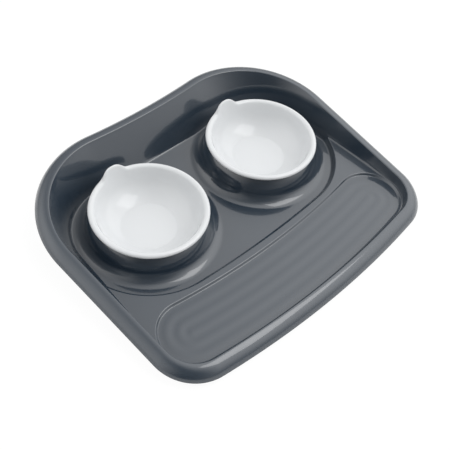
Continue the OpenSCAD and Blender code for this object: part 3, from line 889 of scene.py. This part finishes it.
corners = FLOOR_HALF * np.array([[-1, -1, 0], [1, -1, 0], [1, 1, 0], [-1, 1, 0]]) - [0, 0, FLOOR_GAP]
floor = add_mesh("studio_floor", corners, [(0, 1, 2, 3)])
paper = Finish("white_paper", Roughness=0.9)
fibre = paper.noise(scale=350.0, detail=2.0, rough=0.5)
paper.coat("Base Color", paper.mix(fibre, PAPER_DARK, PAPER_LIGHT))
seen = paper.node("ShaderNodeLightPath")
glow = paper.node("ShaderNodeEmission", {}, {"Strength": WHITE_GLOW})
lit = Socket(paper, paper.tree.nodes[SHADER].outputs[0])
shown = paper.node("ShaderNodeMixShader", {}, {0: seen * GLOW_SHARE, 1: lit, 2: glow})
paper.feed("Material Output", "Surface", shown)
floor.data.materials.append(paper.data)

# %% [markdown]
# ## Sky
# A glossy tray shows the studio round it, and the photograph's long soft reflections come from
# wide lit and unlit walls. Large lamps would show as crisp rectangles in the skin, so the walls
# are smooth regions of the sky: each fades from one level to another around its own direction.
# The camera itself sees the sky as plain white.

# %% Sky
OVERHEAD, BACK_WALL = (0, 0, 1), (-0.25, 0.88, 0.40)
CAMERA_SIDE, RIGHT_PANEL, LEFT_PANEL = (-0.63, -0.44, 0.64), (0.69, -0.29, 0.66), (-0.80, 0.45, 0.40)

world = bpy.data.worlds.new("studio")
bpy.context.scene.world = world
world.use_nodes = True
sky = Graph(world.node_tree)
sky.tree.nodes["Background"].inputs["Color"].default_value = (1, 1, 1, 1)
toward_sky = sky.node("ShaderNodeTexCoord", output=0)


def region(direction, edge, core, outside, within):
    """A level that changes around a direction, where the sky faces it between edge and core."""
    facing = sky.node("ShaderNodeVectorMath", {"operation": "DOT_PRODUCT"},
                      {0: toward_sky, 1: direction}, 1)
    return sky.range(facing, edge, core, outside, within, "SMOOTHSTEP")


level = region(CAMERA_SIDE, edge=0.45, core=0.93, outside=0.90, within=0.22)
level = level * region(OVERHEAD, edge=0.0, core=0.6, outside=0.45, within=1.0)
level = level * region(BACK_WALL, edge=0.3, core=1.0, outside=1.0, within=0.65)
level = level + region(RIGHT_PANEL, edge=0.45, core=1.0, outside=0.0, within=0.80)
level = level + region(LEFT_PANEL, edge=0.45, core=1.0, outside=0.0, within=0.85)
in_view = sky.node("ShaderNodeLightPath")
sky.feed("Background", "Strength", level + (WHITE_GLOW - level) * in_view)
print("sky:", len(sky.tree.nodes), "nodes")

# %% [markdown]
# ## Key lamp
# One softbox above and in front makes the square highlight in each dish and the shine on the
# stands' edges. It is a rectangular lamp, because the highlights are square, and it faces the
# middle of the object.

# %% Key lamp
KEY_SPOT = Vector((0.39, -0.46, 1.11))
KEY_W, KEY_D, KEY_RADIANCE = 0.62, 0.66, 2.2

softbox = bpy.data.lights.new("key_softbox", "AREA")
softbox.shape, softbox.size, softbox.size_y = "RECTANGLE", KEY_W, KEY_D
softbox.energy = KEY_RADIANCE * math.pi * KEY_W * KEY_D
lamp = bpy.data.objects.new("key_softbox", softbox)
bpy.context.scene.collection.objects.link(lamp)
lamp.location = KEY_SPOT
lamp.rotation_euler = (-KEY_SPOT).to_track_quat("-Z", "Y").to_euler()
print("key lamp: %.2f W" % softbox.energy)

# %% [markdown]
# ## Camera
# The camera's place was solved from the photograph: the two round lips, whose size and height are
# the same, fix the direction, the distance and the lens. The picture is also turned by 8 degrees.
# The place is a target on the tray, two angles and a distance, which are easier to adjust than
# a point in space.

# %% Camera
IMAGE_PX, FOCAL_PX, SENSOR_MM = 450, 765.1, 36.0
AZIMUTH, ELEVATION, ROLL = math.radians(-49.76), math.radians(51.44), math.radians(8.17)
DISTANCE, TARGET = 789.1, Vector((-36.1, BOWL_Y - 65.6, 35.6))
NEAREST, FARTHEST = 0.05, 50

back = Vector((math.sin(AZIMUTH) * math.cos(ELEVATION), -math.cos(AZIMUTH) * math.cos(ELEVATION),
               math.sin(ELEVATION)))
right = (-back).cross(Vector((0, 0, 1))).normalized()
up = right.cross(-back)
camera_x = right * math.cos(ROLL) + up * math.sin(ROLL)
camera_y = up * math.cos(ROLL) - right * math.sin(ROLL)
spot = (TARGET + back * DISTANCE) * MM

lens = bpy.data.cameras.new("shop_camera")
lens.sensor_width, lens.lens = SENSOR_MM, FOCAL_PX * SENSOR_MM / IMAGE_PX
lens.clip_start, lens.clip_end = NEAREST, FARTHEST
camera = bpy.data.objects.new("shop_camera", lens)
bpy.context.scene.collection.objects.link(camera)
turned = Matrix((camera_x, camera_y, back)).transposed().to_4x4()
camera.matrix_world = Matrix.Translation(spot) @ turned
bpy.context.scene.camera = camera
print("camera at", [round(v, 3) for v in spot], "lens %.1f mm" % lens.lens)

# %% [markdown]
# ## Finish
# The plain view shows colours as they are, so that they can be compared with the photograph.

# %% Finish
bpy.context.scene.view_settings.view_transform = "Standard"
